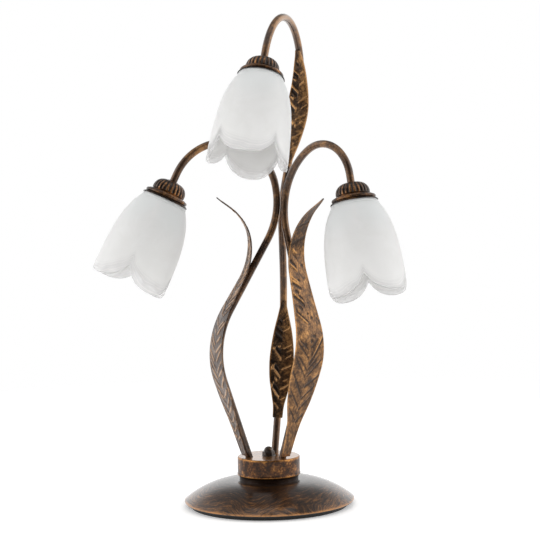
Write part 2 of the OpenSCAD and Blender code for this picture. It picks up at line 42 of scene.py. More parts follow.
# ---------------------------------------------------------------------------
# Camera
# It stands about 2 m in front of the lamp and a little above its middle, tipped
# down and rolled by a hair, which is how the lamp was seen.
lens_at = Vector((0.0058, -2.0, 0.412))
bpy.ops.object.camera_add(location=lens_at)
camera = bpy.context.object
camera.name = "studio_camera"
camera.data.sensor_width = 36
camera.data.lens = 114.13
camera.matrix_world = (Matrix.Translation(lens_at)
                       @ Matrix.Rotation(math.radians(90 - 3.86), 4, "X")
                       @ Matrix.Rotation(math.radians(-1.1), 4, "Z"))
bpy.context.scene.camera = camera
bpy.context.scene.view_settings.view_transform = "Standard"


# ---------------------------------------------------------------------------
# Foot ring, base plate and its screws
# A moulded rubber ring keeps the steel off the table. The painted plate closes the
# dome from below and is held by three countersunk screws.
def group_tree(name, inputs, outputs):
    """An empty shader group with named sockets: (name, kind, default) and (name, kind)."""
    tree = bpy.data.node_groups.new(name, "ShaderNodeTree")
    for label, kind, value in inputs:
        socket = tree.interface.new_socket(label, in_out="INPUT", socket_type="NodeSocket" + kind)
        if value is not None:
            socket.default_value = value
    for label, kind in outputs:
        tree.interface.new_socket(label, in_out="OUTPUT", socket_type="NodeSocket" + kind)
    return tree, tree.nodes.new("NodeGroupInput"), tree.nodes.new("NodeGroupOutput")


def put(tree, kind, values=None, **settings):
    """A node in a tree, with its plain values or the sockets that feed it."""
    node = tree.nodes.new("ShaderNode" + kind)
    for key, value in settings.items():
        setattr(node, key, value)
    for key, value in (values or {}).items():
        if isinstance(value, bpy.types.NodeSocket):
            tree.links.new(value, node.inputs[key])
        else:
            node.inputs[key].default_value = value
    return node


def smooth_step(tree, value, low, high):
    """0 below low, 1 above high and a smooth rise between them."""
    return put(tree, "MapRange", {0: value, 1: low, 2: high},
               interpolation_type="SMOOTHSTEP").outputs[0]


def blend_colour(tree, share, first, second):
    """A mix of two colours: sockets or plain values."""
    node = put(tree, "Mix", {0: share, 6: first, 7: second}, data_type="RGBA")
    return node.outputs[2]


def sum_of(tree, *terms):
    """The weighted sum of (socket, weight) terms and plain numbers."""
    total = None
    for term in terms:
        if isinstance(term, tuple):
            term = put(tree, "Math", {0: term[0], 1: term[1]}, operation="MULTIPLY").outputs[0]
        if total is None:
            total = term
        else:
            total = put(tree, "Math", {0: total, 1: term}, operation="ADD").outputs[0]
    return total


def speckle_group():
    """Fine two-tone grain for cast, moulded and plated pieces."""
    tree, given, out = group_tree(
        "Speckle",
        [("Base", "Color", (0.5, 0.5, 0.5, 1)), ("Spot", "Color", (0.2, 0.2, 0.2, 1)),
         ("Scale", "Float", 200.0), ("Cover", "Float", 0.4), ("Rough low", "Float", 0.3),
         ("Rough high", "Float", 0.5)],
        [("Color", "Color"), ("Roughness", "Float"), ("Height", "Float")])
    place = put(tree, "TexCoord").outputs["Object"]
    coarse = put(tree, "TexNoise", {"Vector": place, "Scale": given.outputs["Scale"],
                                    "Detail": 5.0, "Roughness": 0.6}).outputs["Fac"]
    fine_scale = put(tree, "Math", {0: given.outputs["Scale"], 1: 5.0},
                     operation="MULTIPLY").outputs[0]
    fine = put(tree, "TexNoise", {"Vector": place, "Scale": fine_scale,
                                  "Detail": 3.0}).outputs["Fac"]
    level = sum_of(tree, (coarse, 0.65), (fine, 0.35), (given.outputs["Cover"], 0.5), -0.25)
    mask = smooth_step(tree, level, 0.42, 0.62)
    tree.links.new(blend_colour(tree, mask, given.outputs["Base"], given.outputs["Spot"]),
                   out.inputs["Color"])
    rough = put(tree, "MapRange", {0: mask, 3: given.outputs["Rough low"],
                                   4: given.outputs["Rough high"]}).outputs[0]
    tree.links.new(rough, out.inputs["Roughness"])
    tree.links.new(sum_of(tree, (fine, 0.6), (coarse, 0.4)), out.inputs["Height"])
    return tree


speckle = speckle_group()


def new_finish(name, group, values, bump=0.2, metallic=0.0, **fixed):
    """A material whose colour, roughness and bump come from one of the groups."""
    finish = bpy.data.materials.new(name)
    finish.use_nodes = True
    tree = finish.node_tree
    shader = next(n for n in tree.nodes if n.type == "BSDF_PRINCIPLED")
    effect = tree.nodes.new("ShaderNodeGroup")
    effect.node_tree = group
    for key, value in values.items():
        effect.inputs[key].default_value = value
    tree.links.new(effect.outputs["Color"], shader.inputs["Base Color"])
    tree.links.new(effect.outputs["Roughness"], shader.inputs["Roughness"])
    shader.inputs["Metallic"].default_value = metallic
    for key, value in fixed.items():
        shader.inputs[key.replace("_", " ")].default_value = value
    relief = put(tree, "Bump", {"Height": effect.outputs["Height"], "Distance": 0.0004,
                                "Strength": bump})
    tree.links.new(relief.outputs["Normal"], shader.inputs["Normal"])
    return finish, tree, shader, effect


def dress(finish, *nodes):
    """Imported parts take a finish."""
    for node in nodes:
        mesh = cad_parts[node].data
        mesh.materials.clear()
        mesh.materials.append(finish)


rubber = new_finish("foot_rubber", speckle,
                    {"Base": (0.012, 0.012, 0.012, 1), "Spot": (0.028, 0.027, 0.026, 1),
                     "Scale": 260.0, "Rough low": 0.62, "Rough high": 0.8}, bump=0.35)[0]
plate_paint = new_finish("base_plate_paint", speckle,
                         {"Base": (0.02, 0.017, 0.015, 1), "Spot": (0.035, 0.03, 0.026, 1),
                          "Scale": 320.0, "Rough low": 0.38, "Rough high": 0.5}, bump=0.15)[0]
steel = new_finish("plain_steel", speckle,
                   {"Base": (0.5, 0.48, 0.45, 1), "Spot": (0.33, 0.31, 0.29, 1),
                    "Scale": 420.0, "Rough low": 0.26, "Rough high": 0.42},
                   bump=0.12, metallic=1.0)[0]
dress(rubber, "foot_ring")
dress(plate_paint, "base_plate")
dress(steel, "plate_screws", "centre_rod", "base_washer", "base_nut", "clamp_screws",
      "terminal_screws")

# ---------------------------------------------------------------------------
# Base weight
# A cast iron ring with the sand's grain still on it, clamped under the dome.
iron = new_finish("weight_iron", speckle,
                  {"Base": (0.05, 0.047, 0.044, 1), "Spot": (0.1, 0.07, 0.05, 1),
                   "Scale": 150.0, "Cover": 0.3, "Rough low": 0.55, "Rough high": 0.75},
                  bump=0.9, metallic=0.6)[0]
dress(iron, "base_weight")


# ---------------------------------------------------------------------------
# Base dome
# A spun steel dome, painted near black and brushed by hand with copper bronze in
# curved strokes, which run out to a rim that is worn gold.
def bronze_group():
    """Dark paint brushed with bronze. Relief lifts the gold onto ridges, and on some pieces it
    also carries painted light and shade.
    """
    tree, given, out = group_tree(
        "Brushed bronze",
        [("Vector", "Vector", None), ("Dark", "Color", (0.03, 0.02, 0.015, 1)),
         ("Middle", "Color", (0.12, 0.07, 0.04, 1)), ("Gold", "Color", (0.5, 0.27, 0.1, 1)),
         ("Scale", "Float", 100.0), ("Cover", "Float", 0.5), ("Relief", "Float", 0.0)],
        [("Color", "Color"), ("Roughness", "Float"), ("Height", "Float"), ("Gold", "Float")])
    place = given.outputs["Vector"]

    def noise(factor, detail, rough):
        scale = put(tree, "Math", {0: given.outputs["Scale"], 1: factor},
                    operation="MULTIPLY").outputs[0]
        return put(tree, "TexNoise", {"Vector": place, "Scale": scale, "Detail": detail,
                                      "Roughness": rough}).outputs["Fac"]

    patches, strokes, grains = noise(0.3, 2.0, 0.5), noise(1.0, 6.0, 0.68), noise(6.0, 3.0, 0.6)
    level = sum_of(tree, (patches, 0.55), (strokes, 0.75), (grains, 0.3),
                   (given.outputs["Cover"], 0.6), (given.outputs["Relief"], 0.3), -0.6)
    warm = smooth_step(tree, level, 0.34, 0.56)
    bright = smooth_step(tree, level, 0.5, 0.74)
    colour = blend_colour(tree, warm, given.outputs["Dark"], given.outputs["Middle"])
    colour = blend_colour(tree, bright, colour, given.outputs["Gold"])
    tree.links.new(colour, out.inputs["Color"])
    tree.links.new(sum_of(tree, (warm, -0.05), (grains, 0.12), 0.34), out.inputs["Roughness"])
    tree.links.new(sum_of(tree, (strokes, 0.5), (grains, 0.5)), out.inputs["Height"])
    tree.links.new(bright, out.inputs["Gold"])
    return tree


bronze = bronze_group()


def bronze_finish(name, values, bump=0.25, coat=0.8):
    """Brushed bronze under a coat of clear lacquer."""
    return new_finish(name, bronze, values, bump=bump, metallic=0.85, Coat_Weight=coat,
                      Coat_Roughness=0.16)


dome_bronze, tree, shader, effect = bronze_finish(
    "dome_bronze", {"Dark": (0.02, 0.009, 0.005, 1), "Middle": (0.075, 0.032, 0.012, 1),
                    "Gold": (0.46, 0.2, 0.055, 1), "Scale": 1.0, "Cover": 0.4}, bump=0.1,
    coat=0.9)
shader.inputs["Coat Roughness"].default_value = 0.15
shader.inputs["Coat IOR"].default_value = 1.6
at = put(tree, "TexCoord").outputs["Object"]
split = put(tree, "SeparateXYZ", {0: at})
flat = put(tree, "CombineXYZ", {0: split.outputs[0], 1: split.outputs[1]}).outputs[0]
radius = put(tree, "VectorMath", {0: flat}, operation="LENGTH").outputs["Value"]
heading = put(tree, "VectorMath", {0: flat}, operation="NORMALIZE").outputs[0]
sweep = put(tree, "TexNoise", {"Vector": at, "Scale": 16.0, "Detail": 0.5}).outputs["Fac"]
across = sum_of(tree, (radius, 1500.0), (sweep, 120.0))
around = put(tree, "VectorMath", {0: heading, "Scale": 17.0}, operation="SCALE").outputs[0]
lift = put(tree, "CombineXYZ", {2: across}).outputs[0]
stroke_place = put(tree, "VectorMath", {0: around, 1: lift}, operation="ADD").outputs[0]
tree.links.new(stroke_place, effect.inputs["Vector"])
outer = smooth_step(tree, radius, 0.05, 0.092)
rim_wear = smooth_step(tree, radius, 0.0978, 0.1)
tree.links.new(sum_of(tree, (outer, 0.45), (rim_wear, 0.6), -0.15), effect.inputs["Relief"])
dress(dome_bronze, "base_dome")


# ---------------------------------------------------------------------------
# Drum
# A spun can on the dome: a shallow cove, painted dark as shade under the bead, a bead,
# a plain side sponged with bronze in small patches, a rounded corner where the bronze
# is thickest, and a polished lid.
DRUM_TOP = 0.058


def sew_up(piece):
    """Joins the points where a sheet meets itself, with its faces outwards."""
    bpy.context.view_layer.objects.active = piece
    bpy.ops.object.mode_set(mode="EDIT")
    bpy.ops.mesh.select_all(action="SELECT")
    bpy.ops.mesh.remove_doubles(threshold=1e-7)
    bpy.ops.mesh.normals_make_consistent(inside=False)
    bpy.ops.object.mode_set(mode="OBJECT")


def formed_sheet(name, columns, rows, shape, closed=False):
    """A grid whose points are carried onto a surface: shape(u, v) gives their places."""
    bpy.ops.object.select_all(action="DESELECT")
    bpy.ops.mesh.primitive_grid_add(x_subdivisions=columns, y_subdivisions=rows, size=1,
                                    calc_uvs=True, location=(0, 0, 0))
    piece = bpy.context.object
    piece.name = piece.data.name = name
    spots = np.empty(len(piece.data.vertices) * 3)
    piece.data.vertices.foreach_get("co", spots)
    spots = spots.reshape(-1, 3) + 0.5
    piece.data.vertices.foreach_set("co", shape(spots[:, 0], spots[:, 1]).ravel())
    if closed:
        sew_up(piece)
    bpy.ops.object.shade_smooth()
    return piece


def along_profile(profile, share):
    """Radius and height at shares of a profile's length."""
    rows = np.array(profile, dtype=float) / 1000
    runs = np.concatenate(([0], np.cumsum(np.hypot(*np.diff(rows, axis=0).T))))
    return np.interp(share * runs[-1], runs, rows[:, 0]), np.interp(share * runs[-1], runs,
                                                                    rows[:, 1])


def arc_points(centre, r, first, last, count):
    """Points of an arc in a profile, by angles from the outward direction."""
    return [(centre[0] + r * math.cos(math.radians(first + (last - first) * i / count)),
             centre[1] + r * math.sin(math.radians(first + (last - first) * i / count)))
            for i in range(count + 1)]


def finished(piece, finish, slot, body, *nodes):
    """The piece takes its finish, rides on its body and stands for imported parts."""
    piece.data.materials.clear()
    piece.data.materials.append(finish)
    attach(piece, body)
    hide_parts(*nodes)


COVE = [(34.6 + 2.3 * (1 - math.cos(math.radians(t))), 31.02 + 5.48 * math.sin(math.radians(t)))
        for t in range(0, 91, 15)]
CAN = (COVE + [(37.2, 37.0), (37.2, 38.0), (36.7, 38.7), (36.7, 50.0)]
       + arc_points((35.2, 56.5), 1.5, 0, 90, 6)
       + [(20.0, 58.0), (4.2, 58.0), (4.2, 56.8), (34.0, 56.8), (35.4, 55.6), (35.4, 38.1)]
       + [(r - 1.2, z + 0.4) for r, z in reversed(COVE)] + [COVE[0]])


def can_shape(u, v):
    ring, height = along_profile(CAN, u)
    return np.stack((ring * np.cos(2 * np.pi * v), ring * np.sin(2 * np.pi * v), height),
                    axis=-1)


drum_bronze, tree, shader, effect = bronze_finish(
    "drum_bronze", {"Dark": (0.026, 0.012, 0.006, 1), "Middle": (0.1, 0.038, 0.012, 1),
                    "Gold": (0.5, 0.22, 0.055, 1), "Scale": 420.0, "Cover": 0.46}, bump=0.3)
at = put(tree, "TexCoord").outputs["Object"]
tree.links.new(at, effect.inputs["Vector"])
height = put(tree, "SeparateXYZ", {0: at}).outputs[2]
corner = smooth_step(tree, height, DRUM_TOP - 0.0035, DRUM_TOP - 0.0005)
bead = smooth_step(tree, height, 0.0385, 0.0373)
# The cove under the bead is painted dark: painted shade.
cove = smooth_step(tree, height, 0.0367, 0.036)
tree.links.new(sum_of(tree, (corner, 0.7), (bead, 0.7), (cove, -2.4)),
               effect.inputs["Relief"])
lid = smooth_step(tree, height, DRUM_TOP - 0.0003, DRUM_TOP - 0.0001)
tree.links.new(put(tree, "MapRange", {0: lid, 3: 0.12, 4: 1.0}).outputs[0],
               shader.inputs["Coat Weight"])
shader.inputs["Coat Roughness"].default_value = 0.07
shader.inputs["Coat IOR"].default_value = 1.9

can = formed_sheet("drum_can", 150, 128, can_shape, closed=True)
bpy.ops.object.shade_smooth_by_angle(angle=math.radians(35))
finished(can, drum_bronze, "bronze_mottled", "lamp", "drum")

# ---------------------------------------------------------------------------
# Cap nut
# A turned nut with a round head that pulls the drum and dome down on the rod.
dark_bronze, tree, shader, effect = bronze_finish(
    "dark_bronze", {"Dark": (0.02, 0.013, 0.01, 1), "Middle": (0.06, 0.036, 0.022, 1),
                    "Gold": (0.3, 0.17, 0.07, 1), "Scale": 180.0, "Cover": 0.36}, bump=0.2)
tree.links.new(put(tree, "TexCoord").outputs["Object"], effect.inputs["Vector"])
dress(dark_bronze, "cap_nut")

# ---------------------------------------------------------------------------
# Cord inlet, clamp, terminal block and the leads inside the base
# Moulded and turned pieces that nobody sees from outside: black nylon at the inlet,
# cream urea for clamp and block, and sleeved leads.
black_plastic = new_finish("black_plastic", speckle,
                           {"Base": (0.014, 0.014, 0.014, 1), "Spot": (0.024, 0.023, 0.022, 1),
                            "Scale": 500.0, "Rough low": 0.35, "Rough high": 0.5}, bump=0.1)[0]
pale_plastic = new_finish("pale_plastic", speckle,
                          {"Base": (0.72, 0.67, 0.56, 1), "Spot": (0.62, 0.57, 0.46, 1),
                           "Scale": 300.0, "Rough low": 0.3, "Rough high": 0.42}, bump=0.1)[0]
sleeving = new_finish("lead_sleeve", speckle,
                      {"Base": (0.7, 0.67, 0.6, 1), "Spot": (0.55, 0.52, 0.46, 1),
                       "Scale": 700.0, "Rough low": 0.5, "Rough high": 0.65}, bump=0.3)[0]
dress(black_plastic, "inlet_bush")
dress(pale_plastic, "cord_clamp", "terminal_block")
dress(sleeving, "base_leads", "lead_left", "lead_right", "lead_top")


# ---------------------------------------------------------------------------
# Arms
# Each arm is one steel tube, bent in its own upright plane: out of the drum, back to
# the stem, and over in a hook. It is painted dark with a bronze wipe lengthwise, and a
# gold line along one side of each tube is painted highlight.
TUBE_R = 0.0043
THREAD_RUN = 0.012


class Arm:
    """A bent tube: plane and tilt in degrees, then start and bends in millimetres."""

    def __init__(self, azimuth, tilt, start_out, start_lean, bends, end_run):
        a, t = math.radians(azimuth), math.radians(tilt)
        self.out = Vector((math.cos(a), math.sin(a), 0))
        side = Vector((-math.sin(a), math.cos(a), 0))
        self.up = Vector((0, 0, math.cos(t))) + side * math.sin(t)
        self.side = side * math.cos(t) - Vector((0, 0, math.sin(t)))
        self.start = (start_out / 1000, 0.0, math.radians(start_lean))
        self.route = [ahead(self.start, -0.005)] + bend_stations(self.start, bends)
        self.tip = ahead(self.route[-1], end_run / 1000)
        self.route.append(ahead(self.tip, THREAD_RUN))
        self.bends = bends

    def place(self, out, height, aside):
        """Points in the lamp's frame, from arrays in the arm's plane."""
        base = np.array((0, 0, DRUM_TOP))
        return (base + np.multiply.outer(out, self.out) + np.multiply.outer(height, self.up)
                + np.multiply.outer(aside, self.side))

    def light_matrix(self):
        """The light's frame: origin at the cup's top, +Z to the mouth."""
        out, height, lean = self.tip
        origin = Vector((0, 0, DRUM_TOP)) + self.out * out + self.up * height
        axis = self.out * math.sin(lean) + self.up * math.cos(lean)
        across = self.out * math.cos(lean) - self.up * math.sin(lean)
        return Matrix.Translation(origin) @ Matrix((across, self.side, axis)).transposed().to_4x4()


def ahead(at, run):
    return (at[0] + run * math.sin(at[2]), at[1] + run * math.cos(at[2]), at[2])


def beside(at, gap):
    return (at[0] + gap * math.cos(at[2]), at[1] - gap * math.sin(at[2]), at[2])


def bend_stations(at, bends, step=1.5):
    """Stations (out, height, lean) along straight runs and bends [run, radius, turn]."""
    stations = [at]
    for run, bend_r, turn in bends:
        start = ahead(stations[-1], run / 1000)
        if run > 3:
            stations.append(start)
        sign = 1 if turn > 0 else -1
        centre = beside(start, sign * bend_r / 1000)
        count = math.ceil(abs(turn) / step)
        for i in range(1, count + 1):
            lean = start[2] + math.radians(turn * i / count)
            stations.append((centre[0] - sign * bend_r / 1000 * math.cos(lean),
                             centre[1] + sign * bend_r / 1000 * math.sin(lean), lean))
    return stations


def sampled(stations, count):
    """A route at equal steps, as an array of (out, height, lean), and its length."""
    rows = np.array(stations)
    runs = np.concatenate(([0], np.cumsum(np.hypot(*np.diff(rows[:, :2], axis=0).T))))
    return np.array([np.interp(np.asarray(count) * runs[-1], runs, rows[:, k])
                     for k in range(3)]).T, runs[-1]


def tagged(piece, name, values):
    """A number for each point of a piece, for its material."""
    layer = piece.data.attributes.new(name, "FLOAT", "POINT")
    layer.data.foreach_set("value", np.asarray(values, dtype=np.float32))


def own_uv(tree, along, around):
    """UV coordinates of a piece, stretched to metres."""
    uv = put(tree, "UVMap").outputs[0]
    return put(tree, "Mapping", {0: uv, 3: (along, around, 1.0)}).outputs[0]


ARMS = {
    "left": Arm(198, 1.5, 24, 18, [[95, 105, -48], [92, 90, 39], [2, 63, 145]], 9),
    "right": Arm(312, 2.5, 24, 18, [[116, 80, -36], [111, 80, 77], [0, 46, 107]], 9),
    "top": Arm(252, 3, -24, -8.5, [[86, 405, 21], [32, 90, -39.5], [91, 74, 184]], 6),
}

# The gold line that runs along one side of each tube is painted highlight, laid on top of the
# bronze wipe.
WIPED_HIGHLIGHT_SIDE = {"left": 0.75, "right": 0.25, "top": 0.25}
tube_bronze, tree, shader, effect = bronze_finish(
    "tube_bronze", {"Dark": (0.028, 0.016, 0.01, 1), "Middle": (0.12, 0.06, 0.028, 1),
                    "Gold": (0.4, 0.2, 0.07, 1), "Scale": 60.0, "Cover": 0.6}, bump=0.15)
tree.links.new(own_uv(tree, 0.35, 0.02), effect.inputs["Vector"])
wiped_highlight = put(tree, "Attribute", attribute_name="wiped_highlight").outputs["Fac"]
tree.links.new(wiped_highlight, effect.inputs["Relief"])


def tube_shape(arm):
    """The tube's outside along the arm."""
    def shape(u, v):
        stations, length = sampled(arm.route, u)
        turn = 2 * np.pi * v
        aside = TUBE_R * np.sin(turn)
        off = TUBE_R * np.cos(turn)
        return arm.place(stations[:, 0] + off * np.cos(stations[:, 2]),
                         stations[:, 1] - off * np.sin(stations[:, 2]), aside)
    return shape


for name, arm in ARMS.items():
    tube = formed_sheet("arm_tube_" + name, 220, 28, tube_shape(arm))
    uv = np.empty(len(tube.data.loops) * 2)
    tube.data.uv_layers[0].data.foreach_get("uv", uv)
    around = np.zeros(len(tube.data.vertices))
    corner_of = np.empty(len(tube.data.loops), dtype=np.int32)
    tube.data.loops.foreach_get("vertex_index", corner_of)
    around[corner_of] = uv.reshape(-1, 2)[:, 1]
    highlight_line = np.cos(2 * np.pi * (around - WIPED_HIGHLIGHT_SIDE[name]))
    tagged(tube, "wiped_highlight", 0.6 * np.clip(highlight_line, 0, 1) ** 4 - 0.15)
    sew_up(tube)
    wall = tube.modifiers.new("wall", "SOLIDIFY")
    wall.thickness = 0.0008
    wall.offset = -1
    bpy.ops.object.modifier_apply(modifier=wall.name)
    finished(tube, tube_bronze, "bronze_tube", "lamp", "arm_" + name)


# ---------------------------------------------------------------------------
# Leaves
# Each leaf is cut from 1.2 mm steel sheet, struck between dies for its veins, then
# wrapped to its arm and welded along its back. Its ridges are rubbed with gold.
SHEET = 0.0012
LEAF_GAP = TUBE_R + SHEET / 2
LEAF_CROWN = 0.001


def profile_at(pairs, x):
    """The smooth curve through [position, value] pairs that the leaves are cut to."""
    pairs = np.array(pairs, dtype=float)
    k = np.clip(np.searchsorted(pairs[:, 0], x) - 1, 0, len(pairs) - 2)
    low = np.maximum(np.arange(len(pairs)) - 1, 0)
    high = np.minimum(np.arange(len(pairs)) + 1, len(pairs) - 1)
    slopes = (pairs[high, 1] - pairs[low, 1]) / (pairs[high, 0] - pairs[low, 0])
    w = pairs[k + 1, 0] - pairs[k, 0]
    t = (x - pairs[k, 0]) / w
    return (pairs[k, 1] * (2 * t**3 - 3 * t**2 + 1) + pairs[k + 1, 1] * (3 * t**2 - 2 * t**3)
            + slopes[k] * w * (t**3 - 2 * t**2 + t) + slopes[k + 1] * w * (t**3 - t**2))


def struck_veins(run, length, x, half, veins):
    """Height of the die's pattern, in units of its depth, at runs and cross places.

    Each vein is (run at the midrib, side, first and last share of the half width, slope,
    width, height): a stroke that climbs or falls towards the edge."""
    height = np.zeros_like(x)
    across = x * half
    for start, side, first, reach, slope, width, rise in veins:
        on = side * across
        off = (run - start - slope * np.clip(on, 0, None)) / math.sqrt(1 + slope * slope)
        line = np.exp(-(off / width) ** 2)
        share = on / np.maximum(half, 1e-6)
        fade = np.clip((share - first) / 0.08, 0, 1) * np.clip((reach - share) / 0.12, 0, 1)
        height += rise * line * fade
    return height


def vein_rows(seed, length, pitch, slope, width, rise, ends=(0.06, 0.94), jitter=0.25):
    """Paired side veins at an even pitch, each a little out of true as dies are cut."""
    draw = np.random.default_rng(seed)
    veins = []
    for k in range(int(length / pitch)):
        for side in (-1, 1):
            start = (k + draw.uniform(-jitter, jitter)) * pitch
            if ends[0] * length < start < ends[1] * length:
                veins.append((start, side, draw.uniform(0.02, 0.2), draw.uniform(0.75, 1.0),
                              slope[0 if side < 0 else 1] * draw.uniform(0.8, 1.2),
                              width * draw.uniform(0.8, 1.3), rise * draw.uniform(0.5, 1.1)))
    return veins


def leaf_piece(name, arm, stations, shape, widest, roll, veins_for, depth, columns, rows,
               midrib=0.6, tone=None):
    """One leaf: a crowned strip along a line, struck with its veins and given its sheet.

    tone(u, share) paints it brighter or darker in places: painted light and shade."""
    relief = {}
    length = sampled(stations, [0.0])[1]
    veins = veins_for(length)

    def surface(u, v):
        at, _ = sampled(stations, u)
        half = widest * profile_at(shape, u)
        share = 2 * v - 1
        x = half * share
        height = struck_veins(u * length, length, share, half, veins)
        height += midrib * np.exp(-(x / 0.0008) ** 2)
        height += 0.5 * np.exp(-((1 - np.abs(share)) * half / 0.0009) ** 2)
        ends = np.clip(u * length / 0.006, 0, 1) * np.clip((1 - u) * length / 0.006, 0, 1)
        height *= ends
        # tone adds painted light and shade to the die's pattern.
        relief["struck"] = height + (tone(u, share) if tone else 0)
        turn = np.radians(roll[0] + (roll[1] - roll[0]) * u)
        out = (LEAF_GAP + SHEET / 2 - LEAF_CROWN * (x / widest) ** 2
               + depth * np.clip(height, -0.6, 1.2))
        push = out * np.cos(turn) - x * np.sin(turn) - LEAF_GAP
        aside = out * np.sin(turn) + x * np.cos(turn)
        return arm.place(at[:, 0] + push * np.cos(at[:, 2]),
                         at[:, 1] - push * np.sin(at[:, 2]), aside)

    leaf = formed_sheet(name, columns, rows, surface)
    tagged(leaf, "struck", relief["struck"])
    bpy.ops.object.mode_set(mode="EDIT")
    bpy.ops.mesh.select_all(action="SELECT")
    bpy.ops.mesh.flip_normals()
    bpy.ops.object.mode_set(mode="OBJECT")
    wall = leaf.modifiers.new("sheet", "SOLIDIFY")
    wall.thickness = SHEET
    wall.offset = -1
    bpy.ops.object.modifier_apply(modifier=wall.name)
    bpy.ops.object.shade_smooth_by_angle(angle=math.radians(50))
    return leaf


def leaf_finish(name, values, bump=0.35, along=0.35, around=0.05):
    finish, tree, shader, effect = bronze_finish(name, values, bump=bump, coat=0.3)
    tree.links.new(own_uv(tree, along, around), effect.inputs["Vector"])
    struck = put(tree, "Attribute", attribute_name="struck").outputs["Fac"]
    tree.links.new(struck, effect.inputs["Relief"])
    return finish


gold_leaf = leaf_finish("leaf_bronze_gold", {
    "Dark": (0.04, 0.021, 0.011, 1), "Middle": (0.175, 0.084, 0.031, 1),
    "Gold": (0.5, 0.25, 0.08, 1), "Scale": 260.0, "Cover": 0.5})
grey_leaf = leaf_finish("leaf_bronze_grey", {
    "Dark": (0.05, 0.028, 0.018, 1), "Middle": (0.12, 0.068, 0.042, 1),
    "Gold": (0.46, 0.3, 0.19, 1), "Scale": 130.0, "Cover": 0.36})
dark_leaf = leaf_finish("leaf_bronze_dark", {
    "Dark": (0.022, 0.013, 0.008, 1), "Middle": (0.1, 0.054, 0.027, 1),
    "Gold": (0.46, 0.24, 0.09, 1), "Scale": 130.0, "Cover": 0.36})

SIDE_LEAF = [[0, 0.26], [0.12, 0.43], [0.22, 0.82], [0.33, 1.02], [0.45, 0.93], [0.6, 0.7],
             [0.77, 0.5], [0.87, 0.35], [0.95, 0.16], [1, 0.03]]
UPPER_LEAF = [[0, 0.29], [0.1, 0.5], [0.22, 0.76], [0.38, 0.98], [0.5, 1], [0.62, 0.86],
              [0.75, 0.66], [0.88, 0.45], [0.96, 0.28], [1, 0.22]]
LOWER_LEAF = [[0, 0.42], [0.1, 0.47], [0.2, 0.67], [0.33, 0.93], [0.46, 1.03], [0.55, 1],
              [0.65, 0.9], [0.76, 0.72], [0.87, 0.47], [0.96, 0.28], [1, 0.22]]


def side_leaf_line(arm, curl, tip):
    """Along the arm's first straight and bend, then away from it in the leaf's own curl."""
    first = [ahead(arm.start, 0.004)] + bend_stations(arm.start, [arm.bends[0]])[1:]
    hug = [beside(at, LEAF_GAP) for at in first]
    curled = bend_stations(hug[-1], curl)[1:]
    return hug + curled + [ahead(curled[-1], tip / 1000)]


# Strokes of the dies: [share of the length at the midrib, side, first and last share of
# the half width, slope, width in mm, height], cut ones below zero and raised ones above.
RIGHT_MARKS = [
    [0.865, 1, 0, 0.9, 0.6, 1.1, -0.9], [0.865, -1, 0, 0.7, -0.6, 1.1, -0.7],
    [0.80, 1, 0, 1.0, 0.5, 1.5, -1.2], [0.80, -1, 0, 1.0, -0.5, 1.5, -1.2],
    [0.752, -1, 0, 0.7, 0.8, 1.0, 1.0], [0.735, -1, 0, 0.6, 0.8, 1.0, -0.7],
    [0.69, -1, 0, 0.95, 0.8, 1.0, 1.0], [0.702, -1, 0.1, 0.95, 0.8, 1.1, -0.9],
    [0.645, -1, 0.1, 0.95, 0.7, 1.0, 0.9], [0.635, -1, 0.1, 0.95, 0.6, 1.0, 1.0],
    [0.625, -1, 0, 0.88, 0.6, 1.1, -1.4], [0.60, -1, 0.35, 0.75, 0.6, 1.2, -1.3],
    [0.585, -1, 0, 0.45, 0.85, 0.9, -1.0], [0.574, -1, 0, 0.95, 0.85, 1.0, 0.9],
    [0.563, -1, 0, 0.93, 0.85, 1.3, -1.5], [0.543, -1, 0.27, 0.65, 0.6, 1.2, -1.3],
    [0.505, -1, 0, 0.88, 0.9, 0.8, -1.1], [0.497, -1, 0, 0.88, 0.9, 0.9, 0.7],
    [0.712, 1, 0.45, 0.72, 0, 1.3, -1.4], [0.657, -1, 0.02, 0.28, 0, 1.3, -1.4],
    [0.535, 1, 0, 0.2, 0, 1.3, -1.4], [0.52, 1, 0.22, 0.48, 0, 1.4, -1.4],
    [0.455, 1, 0.2, 0.46, 0, 1.4, -1.5], [0.437, 1, 0, 0.22, 0, 1.3, -1.4],
    [0.427, -1, 0.2, 0.46, 0, 1.3, -1.3], [0.40, -1, 0.1, 0.8, 0.9, 0.9, -0.8],
    [0.41, 1, 0, 0.65, 0.8, 1.0, -0.9], [0.372, -1, 0, 0.88, 1.1, 0.9, -0.9],
    [0.353, 1, 0, 0.97, 1.5, 1.3, -1.2], [0.364, 1, 0.1, 0.97, 1.5, 1.0, 0.8],
    [0.335, 1, 0, 0.7, 1.1, 0.9, -0.7], [0.33, -1, 0, 0.8, 1.1, 0.9, -0.7],
    [0.303, -1, 0, 0.9, 1.2, 0.9, -0.8], [0.303, 1, 0, 0.9, 1.1, 0.9, -0.8],
    [0.265, 1, 0.05, 1.0, 0.65, 1.3, -1.1], [0.235, -1, 0, 0.97, 1.5, 0.9, -0.9],
    [0.22, 1, 0, 0.9, 0.9, 0.9, -0.7], [0.19, -1, 0, 0.9, 1.3, 0.9, -0.8],
    [0.18, 1, 0, 0.9, 1.0, 0.9, -0.7], [0.14, -1, 0, 0.9, 1.2, 0.9, -0.6],
    [0.13, 1, 0, 0.9, 1.0, 0.9, -0.6]]
